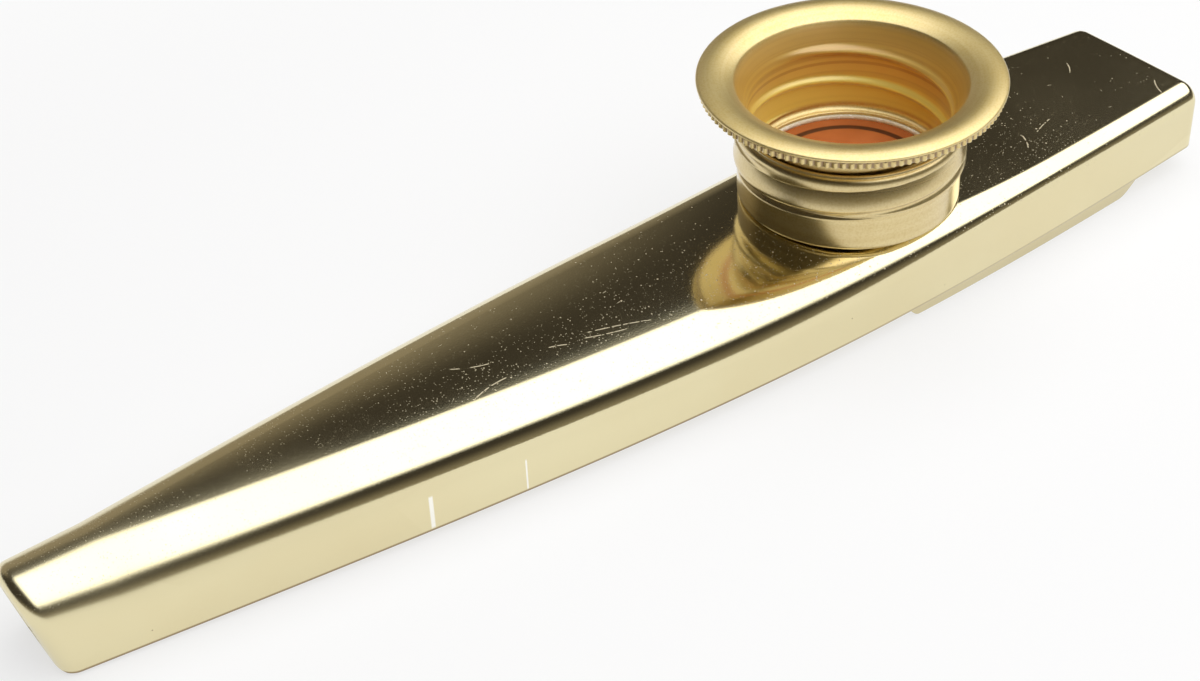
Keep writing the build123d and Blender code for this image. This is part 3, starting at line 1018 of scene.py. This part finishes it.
@dataclass
class BottomPlate:
    """The bottom plate, a flat sheet on the hem with a belly pressed down between the hem's lips."""

    shell: BodyShell
    edge_gap: float = 0.5
    from_mouth: float = 5.7
    length: float = 34.3
    side_gap: float = 0.6
    side_ramp: float = 0.2
    ramps: Point = (2.4, 4.5)

    def build(self) -> Object:
        """A height over places along and across: the hem's line, pressed down in the belly by smooth steps.

        Each step goes from the belly's outline inwards, over the ramp's width at the sides and at both ends.

        Returns:
            The plate, with its sheet's thickness upwards.
        """
        shell = self.shell
        front = shell.mouth_x - self.from_mouth
        rear = front - self.length
        start = shell.exit_x + shell.exit_slant + self.edge_gap
        end = shell.mouth_x - self.edge_gap
        x = np.concatenate([
            np.linspace(start, rear, 50)[:-1], np.linspace(rear, rear + self.ramps[0], 20),
            np.linspace(rear + self.ramps[0], front - self.ramps[1], 30)[1:-1],
            np.linspace(front - self.ramps[1], front, 18), np.linspace(front, end, 10)[1:],
        ])
        edge = shell.half_width(x) - self.edge_gap
        side = (shell.half_width(x) - self.side_gap)[:, None]
        inner = side - self.side_ramp
        y = np.concatenate([
            inner * np.linspace(0, 1, 10)[:-1], inner + self.side_ramp * np.linspace(0, 1, 12),
            side + (edge[:, None] - side) * np.linspace(0, 1, 4)[1:],
        ], axis=1)
        along = smooth_step(x, rear, rear + self.ramps[0])
        along = along * (1 - smooth_step(x, front - self.ramps[1], front))
        level = (shell.hem(x) + shell.sheet)[:, None]
        height = level * (1 - along[:, None] * smooth_step(side - y, 0.0, self.side_ramp))
        across = np.concatenate([y[:, ::-1], -y[:, 1:]], axis=1)
        height = np.concatenate([height[:, ::-1], height[:, 1:]], axis=1)
        points = np.stack([np.broadcast_to(x[:, None], across.shape), across, height], axis=-1)
        obj = grid_object("plate_skin", points)
        thicken(obj, shell.sheet)
        # painted shade: the plate's gold is a darker copy of the shell's, for the shade it lies in under the
        # body
        finish = BrightGold("plate_gold_shaded", (0.71, 0.63, 0.40), (0.66, 0.57, 0.34))
        obj.data.materials.append(finish.material())
        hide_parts("lower_shell")
        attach(obj, Body.SHELL.value)
        return obj


@dataclass(frozen=True)
class Thread:
    """The single right-handed bead that is rolled into both the collar and the cap."""

    pitch: float = 3.2
    phase: float = -214.0
    half_width: float = 0.62
    run_out: float = 0.12

    def bead(self, angle: Array, height: Array, start: float, end: float, lift: float = 0.0) -> Array:
        """Height of the bead from 0 to 1: a raised cosine across the helix, faded out at both ends.

        Args:
            angle: Angle round the turret's axis in degrees.
            height: Height above the body's top.
            start: Height of the helix's lower end.
            end: Height of the helix's upper end.
            lift: How far this thread stands above the thread it meets.

        Returns:
            The bead, on the shape that angle and height broadcast to.
        """
        turn = (height - lift) / self.pitch - (angle - self.phase) / 360.0
        off = (turn - np.round(turn)) * self.pitch
        centre = height - off
        ridge = 0.5 + 0.5 * np.cos(np.pi * np.clip(off / self.half_width, -1, 1))
        fade = self.run_out * self.pitch
        return ridge * smooth_step(centre, start, start + fade) * (1 - smooth_step(centre, end - fade, end))


@dataclass
class Turned:
    """A closed profile turned about the turret's axis."""

    axis_x: float
    top: float

    def spin(self, profile: Array, count: int,
             change: Callable[[Array, Array, Array], Array] | None = None) -> Array:
        """Turns a profile of (radius, height above the body's top) points round the axis.

        Args:
            profile: Points in order, up the outside and down the inside.
            count: Number of steps round the axis.
            change: Takes the angle in degrees, the radius and the height, and gives what the radius gains.

        Returns:
            Grid of points, one row for each angle.
        """
        angle = (np.arange(count) * 360.0 / count)[:, None]
        radius, height = profile[None, :, 0], profile[None, :, 1]
        radius = radius + (0 * angle if change is None else change(angle, radius, height))
        height = np.broadcast_to(self.top + height, radius.shape)
        turn = np.radians(angle)
        return np.stack([self.axis_x + radius * np.cos(turn), radius * np.sin(turn), height], axis=-1)


@dataclass
class Collar(Turned):
    """The threaded cup on the top: base round, plain band, bulge and rolled edge, swaged in by its spigot."""

    finish: TurnedGold
    thread: Thread
    sheet: float = 0.4
    bore: float = 9.75
    base_round: float = 0.5
    band: float = 3.6
    bulge: float = 2.8
    edge: float = 1.5
    swell: float = 0.45
    swell_turn: Point = (0.25, 0.8)
    edge_turn: Point = (0.3, 0.6)
    hollow: float = 2.1
    hollow_depth: float = 0.74
    front: float = -134.0
    climb: float = 2.6
    spigot: float = 6.5
    flange: float = 0.8
    shell_sheet: float = 0.45
    thread_start: float = 2.7
    thread_turns: float = 1.3
    depth: float = 0.4

    def profile(self) -> Array:
        """Up the outside, over the edge, down the bore, along the floor and round the spigot's flange.

        Returns:
            Points of (radius, height above the body's top).
        """
        out = self.bore + self.sheet
        full = out + self.swell
        low, high = self.band, self.band + self.bulge + self.edge
        cap = self.sheet / 2
        turn = np.radians(np.linspace(-90, 0, 9))[:-1]
        base = np.stack([out - self.base_round + self.base_round * np.cos(turn),
                         self.base_round + self.base_round * np.sin(turn)], axis=-1)
        over = np.radians(np.linspace(0, 180, 11))[:-1]
        roll = np.stack([out - cap + cap * np.cos(over), high - cap + cap * np.sin(over)], axis=-1)
        under = -self.shell_sheet
        swell_low = (full, low + self.swell_turn[1])
        swell_high = (full, high - self.edge + self.edge_turn[0])
        shoulder = (full - 0.3 * self.swell, high - self.edge_turn[1])
        return np.concatenate([
            base,
            polyline([(out, self.base_round), (out, low)], 0.1),
            bend((out, low), (out + 0.7 * self.swell, low + self.swell_turn[0]), swell_low, 10),
            polyline([swell_low, swell_high], 0.07),
            bend(swell_high, shoulder, (out, high - cap), 14),
            roll,
            polyline([(self.bore, high - cap), (self.bore, self.sheet)], 0.12),
            polyline([
                (self.bore, self.sheet),
                (self.spigot - self.sheet, self.sheet),
                (self.spigot - self.sheet, under - self.sheet),
                (self.spigot + self.flange, under - self.sheet),
                (self.spigot + self.flange, under),
                (self.spigot, under),
                (self.spigot, 0.0),
                (out - self.base_round, 0.0),
            ], 0.5),
        ])

    def valley(self, angle: Array, height: Array) -> Array:
        """Depth from 0 to 1 of the long hollow under the edge bead, which climbs like the thread.

        Below its line the hollow rises as the power 1.5 of the distance, above it ends in a short step, and
        it runs out at the back.

        Args:
            angle: Angle round the axis in degrees.
            height: Height above the body's top.

        Returns:
            The depth, on the shape that angle and height broadcast to.
        """
        round_front = (angle - self.front + 180.0) % 360.0 - 180.0
        above = height - self.band - self.bulge - self.climb * round_front / 360.0
        lower = np.clip(1.0 + above / self.hollow, 0.0, 1.0) ** 1.5
        upper = 1.0 - smooth_step(above, 0.0, 0.22)
        return lower * upper * (1.0 - smooth_step(np.abs(round_front), 120.0, 176.0))

    def build(self) -> Object:
        """Turns the profile with the bead pressed inwards through the wall.

        Returns:
            The collar.
        """
        end = self.thread_start + self.thread_turns * self.thread.pitch

        def press(angle: Array, radius: Array, height: Array) -> Array:
            """The bead moves both faces of the wall towards the axis.

            Args:
                angle: Angle in degrees.
                radius: Radius.
                height: Height above the body's top.

            Returns:
                What the radius gains.
            """
            wall = radius > self.bore - self.sheet / 2
            outside = radius > self.bore + self.sheet / 2
            bead = self.thread.bead(angle, height, self.thread_start, end)
            hollow = self.hollow_depth * outside * self.valley(angle, height) * (1 - bead)
            return -self.depth * wall * bead - hollow

        obj = grid_object("collar_skin", self.spin(self.profile(), 320, press), True, True)
        obj.data.materials.append(self.finish.material())
        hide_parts("turret_collar")
        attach(obj, Body.SHELL.value)
        return obj


@dataclass
class Cap(Turned):
    """The screw cap: threaded sleeve with an inward lip, flared neck and a knurled rim."""

    finish: TurnedGold
    thread: Thread
    foot: float
    sheet: float = 0.3
    sleeve: float = 9.6
    lip: float = 0.6
    fillet: float = 0.6
    neck_height: float = 7.05
    neck_flare: float = 1.13
    taper: float = 0.55
    neck_rise: float = 2.1
    bell: float = 0.43
    undercut: float = 0.7
    rim: float = 13.85
    rim_lift: float = 0.35
    rim_inset: float = 0.02
    crown: float = 0.37
    edge: float = 0.9
    step: float = 0.2
    knurls: int = 120
    knurl_depth: float = 0.19
    groove_depth: float = 0.37
    play: float = 0.2

    def profile(self) -> Array:
        """Up the sleeve, out under the rim, round its edge and crown, and down the throat to the lip.

        Returns:
            Points of (radius, height above the body's top).
        """
        bore = self.sleeve - self.sheet
        neck = self.foot + self.neck_height
        throat, throat_z = bore + self.neck_flare, neck + self.neck_rise
        rim_z = throat_z + self.rim_lift
        low = rim_z - self.edge
        band = self.rim - 2 * self.step
        soft = self.step / 2
        side = self.rim - self.rim_inset
        under = (band - self.step, low)
        rim_low, rim_mid = (self.rim - soft, rim_z - soft), (side, rim_z)
        rim_high = (side - soft, rim_z + 2 * soft)
        crest = ((throat + self.rim) / 2, rim_z + self.crown)
        brow, brink = (throat + soft, throat_z + soft), (throat - soft, throat_z - self.step)
        flank = (bore + self.bell * self.neck_flare, neck + (self.neck_rise - self.taper) / 2)
        waist = (bore, neck - self.taper)
        lip_z = self.foot + self.sheet
        turn = np.radians(np.linspace(0, 90, 9))[:-1]
        hollow = np.stack([bore - self.fillet + self.fillet * np.cos(turn),
                           lip_z + self.fillet - self.fillet * np.sin(turn)], axis=-1)
        return np.concatenate([
            polyline([(self.sleeve, self.foot), (self.sleeve, neck)], 0.13),
            bend((self.sleeve, neck), (throat + self.sheet, throat_z - self.undercut), under, 14),
            polyline([under, (band, low + soft), (band, rim_z - soft), rim_low], 0.15),
            bend(rim_low, (side, rim_z - 0.6 * soft), rim_mid, 3),
            bend(rim_mid, (side, rim_z + soft), rim_high, 4),
            bend(rim_high, crest, brow, 30),
            bend(brow, (throat, throat_z), brink, 5),
            bend(brink, flank, waist, 16),
            polyline([waist, (bore, lip_z + self.fillet)], 0.1),
            hollow,
            polyline([
                (bore - self.fillet, lip_z),
                (bore - self.lip, lip_z),
                (bore - self.lip, self.foot),
                (self.sleeve, self.foot),
            ], 0.3),
        ])

    def build(self) -> Object:
        """Turns the profile with the thread rolled into the sleeve.

        Returns:
            The cap.
        """
        neck = self.foot + self.neck_height
        bore = self.sleeve - self.sheet

        def shape(angle: Array, radius: Array, height: Array) -> Array:
            """The thread moves both faces of the sleeve inwards.

            Args:
                angle: Angle in degrees.
                radius: Radius.
                height: Height above the body's top.

            Returns:
                What the radius gains.
            """
            wall = (radius > bore - 0.01) & (height < neck) & (height > self.foot + 0.5 * self.sheet)
            groove = self.thread.bead(angle, height, self.foot - self.thread.pitch, neck, self.play)
            return -self.groove_depth * wall * groove

        low = self.top + neck + self.neck_rise + self.rim_lift - self.edge
        # painted shade under the rim, from just outside the sleeve to the knurls
        under_rim_shade = (self.sleeve + 0.7, self.rim - 2 * self.step, low + self.step / 2)
        outside = replace(self.finish, under_rim_shade=under_rim_shade).material()
        obj = grid_object("cap_skin", self.spin(self.profile(), 400, shape), True, True)
        self.dress(obj, outside)
        self.line_throat(obj)
        return obj

    def line_throat(self, obj: Object) -> None:
        """Gives the bore's finish to the faces that look towards the axis, from the rim's crest inwards.

        Args:
            obj: The cap.
        """
        bore = (self.sleeve + 0.5, self.sleeve + 0.9, self.top + self.foot + 0.7)
        obj.data.materials.append(replace(self.finish, name="throat_gold", bore=bore).material())
        faces = obj.data.polygons
        centre, normal = np.empty(3 * len(faces)), np.empty(3 * len(faces))
        faces.foreach_get("center", centre)
        faces.foreach_get("normal", normal)
        out = centre.reshape(-1, 3)[:, :2] - np.array([self.axis_x * MM, 0.0])
        inward = (out * normal.reshape(-1, 3)[:, :2]).sum(axis=1) < 0
        faces.foreach_set("material_index", inward.astype(np.int32))

    def build_knurls(self) -> Object:
        """A ring of teeth below the rolled rim: a closed band whose outer face is waved as a cosine.

        Returns:
            The ring.
        """
        rim_z = self.foot + self.neck_height + self.neck_rise + self.rim_lift
        low, high = rim_z - self.edge, rim_z - 0.7 * self.step
        band = self.rim - self.step
        soft = self.step / 2
        profile = polyline([
            (band - 2 * self.step, low), (band - soft, low), (band, low + soft), (band, high - soft),
            (band - soft, high), (band - 2 * self.step, high), (band - 2 * self.step, low),
        ], 0.12)

        def teeth(angle: Array, radius: Array, height: Array) -> Array:
            """The outer face goes in between the teeth."""
            outer = smooth_step(radius, band - 1.5 * self.step, band - soft)
            return -self.knurl_depth * outer * (0.5 + 0.5 * np.cos(np.radians(angle * self.knurls)))

        # painted shade in the knurls' valleys and under the rolled rim
        knurl_shade = (band - self.knurl_depth, band - 0.4 * self.knurl_depth, self.top + high)
        finish = replace(self.finish, name="knurl_gold", knurl_shade=knurl_shade).material()
        obj = grid_object("knurl_skin", self.spin(profile, 10 * self.knurls, teeth), True, True)
        return self.dress(obj, finish)

    def dress(self, obj: Object, finish: Material) -> Object:
        """Gives a piece of the cap its finish, node, body and slot.

        Args:
            obj: The piece.
            finish: Its material.

        Returns:
            The piece.
        """
        obj.data.materials.append(finish)
        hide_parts("turret_cap")
        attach(obj, Body.CAP.value)
        return obj


@dataclass
class Discs(Turned):
    """The film that buzzes and the card washer that holds it down."""

    film: OrangeFilm
    card: Fibre
    film_low: float
    film_high: float
    washer_high: float
    radius: float = 9.25
    washer_bore: float = 8.45
    ring_bore: float = 7.1
    crease: float = 0.03
    crease_width: float = 0.25
    soft: float = 0.06

    def build_film(self) -> Object:
        """A thin disc whose upper face dips by a shallow crease over the ring's inner edge.

        Returns:
            The film.
        """
        r = np.linspace(self.radius, 0, 60)
        dip = self.crease * np.exp(-(((r - self.ring_bore) / self.crease_width) ** 2))
        upper = np.stack([r, self.film_high - dip], axis=-1)
        lower = np.stack([r[::-1], self.film_low + 0 * r], axis=-1)
        points = self.spin(np.concatenate([upper, lower]), 128)
        obj = grid_object("film_skin", points, True, True)
        obj.data.materials.append(self.film.material())
        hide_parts("membrane")
        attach(obj, Body.SHELL.value)
        return obj

    def build_washer(self) -> Object:
        """A flat ring with slightly softened edges.

        Returns:
            The washer.
        """
        soft, low, high = self.soft, self.film_high, self.washer_high
        profile = polyline([
            (self.radius, low), (self.radius, high - soft), (self.radius - soft, high),
            (self.washer_bore + soft, high), (self.washer_bore, high - soft), (self.washer_bore, low),
            (self.radius, low),
        ], 0.2)
        obj = grid_object("washer_skin", self.spin(profile, 160), True, True)
        obj.data.materials.append(self.card.material())
        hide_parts("clamp_washer")
        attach(obj, Body.WASHER.value)
        return obj


@dataclass
class Studio:
    """Pale floor, one large soft box overhead, a dim room and the camera."""

    azimuth: float = -33.85
    elevation: float = 38.10
    roll: float = -2.74
    distance: float = 185.7
    aim: Vector = (-8.35, -4.47, 9.0)
    focal_pixels: float = 2201.0
    sensor: float = 36.0
    floor_half: float = 3000.0
    floor_gap: float = 0.03
    box_height: float = 450.0
    box_centre: Point = (275.0, -245.0)
    box_half: Point = (575.0, 615.0)
    box_fade: tuple[float, float, float, float] = (250.0, 120.0, 330.0, 140.0)
    box_strength: float = 2.2

    def build_floor(self) -> Object:
        """A flat grid a hair below the part, so that no two faces lie in one plane.

        Returns:
            The floor.
        """
        edge = np.linspace(-self.floor_half, self.floor_half, 9)
        obj = level_sheet("studio_floor", edge, edge, -self.floor_gap)
        obj.data.materials.append(PaleFloor().material())
        return obj

    def build_light(self) -> Object:
        """Hangs the soft box level over the object, facing down, and puts the dim room round it.

        Returns:
            The soft box.
        """
        (mid_x, mid_y), (wide, deep) = self.box_centre, self.box_half
        x = np.linspace(mid_x - wide, mid_x + wide, 9)
        obj = level_sheet("soft_box", x, np.linspace(mid_y + deep, mid_y - deep, 9), self.box_height)
        face = SoftBox(self.box_centre, self.box_half, self.box_fade, self.box_strength)
        obj.data.materials.append(face.material())
        bpy.context.scene.world = DimRoom().world()
        return obj

    def build_camera(self) -> None:
        """Stands the camera off the aim by azimuth, elevation and distance, and rolls it."""
        az, el, roll = (math.radians(v) for v in (self.azimuth, self.elevation, self.roll))
        back = np.array([math.sin(az) * math.cos(el), -math.cos(az) * math.cos(el), math.sin(el)])
        right = np.cross([0.0, 0.0, 1.0], back)
        right /= np.linalg.norm(right)
        up = np.cross(back, right)
        across = math.cos(roll) * right + math.sin(roll) * up
        upward = math.cos(roll) * up - math.sin(roll) * right
        place = (np.array(self.aim) + self.distance * back) * MM
        camera = bpy.data.cameras.new("camera")
        camera.sensor_fit = "HORIZONTAL"
        camera.sensor_width = self.sensor
        camera.lens = self.sensor * self.focal_pixels / PHOTO_WIDTH
        camera.clip_start = 0.01
        obj = bpy.data.objects.new("camera", camera)
        turn = np.eye(4)
        turn[:3, :4] = np.stack([across, upward, back, place], axis=1)
        obj.matrix_world = Matrix(turn.tolist())
        bpy.context.scene.collection.objects.link(obj)
        bpy.context.scene.camera = obj


def node_box(node: str) -> tuple[Array, Array]:
    """Lowest and highest corner of a CAD node, in millimetres."""
    low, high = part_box(node)
    return np.array(low) / MM, np.array(high) / MM


def main() -> None:
    """Builds the pieces in order, dresses the CAD nodes that stay, and sets up the studio."""
    logging.basicConfig(level=logging.INFO, format="%(name)s: %(message)s")
    shell_high = node_box("upper_shell")[1]
    film_low, film_high = node_box("membrane")
    washer_high = node_box("clamp_washer")[1]
    turret_x = float(film_low[0] + film_high[0]) / 2
    top = float(shell_high[2])

    thread = Thread()
    cap_gold = TurnedGold("satin_gold", turret_x, (0.79, 0.635, 0.285), (0.69, 0.505, 0.145), 0.42, 6e-6)
    collar_gold = TurnedGold("collar_gold", turret_x, (0.73, 0.59, 0.28), (0.62, 0.46, 0.18), 0.25, 4e-6)
    shell = BodyShell(float(shell_high[0]), top, turret_x)
    card = Fibre("pale_card", (0.80, 0.75, 0.60), (0.92, 0.90, 0.82))
    discs = Discs(
        turret_x, top, OrangeFilm(turret_x, Discs.ring_bore), card,
        float(film_low[2]) - top, float(film_high[2]) - top, float(washer_high[2]) - top,
    )
    cap = Cap(turret_x, top, cap_gold, thread, float(washer_high[2]) - top)
    pieces = [
        shell.build(),
        BottomPlate(shell).build(),
        Collar(turret_x, top, collar_gold, thread).build(),
        cap.build(),
        cap.build_knurls(),
        discs.build_film(),
        discs.build_washer(),
    ]
    for piece in pieces:
        LOG.info("%s: %d faces", piece.name, len(piece.data.polygons))

    fibre = Fibre("brown_fibre", (0.30, 0.12, 0.045), (0.42, 0.20, 0.09)).material()
    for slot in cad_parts["resonator_ring"].material_slots:
        slot.material = fibre
    LOG.info("resonator_ring: dressed")

    studio = Studio()
    studio.build_floor()
    studio.build_light()
    studio.build_camera()
    bpy.context.scene.view_settings.view_transform = "Standard"


if __name__ == "__main__":
    main()
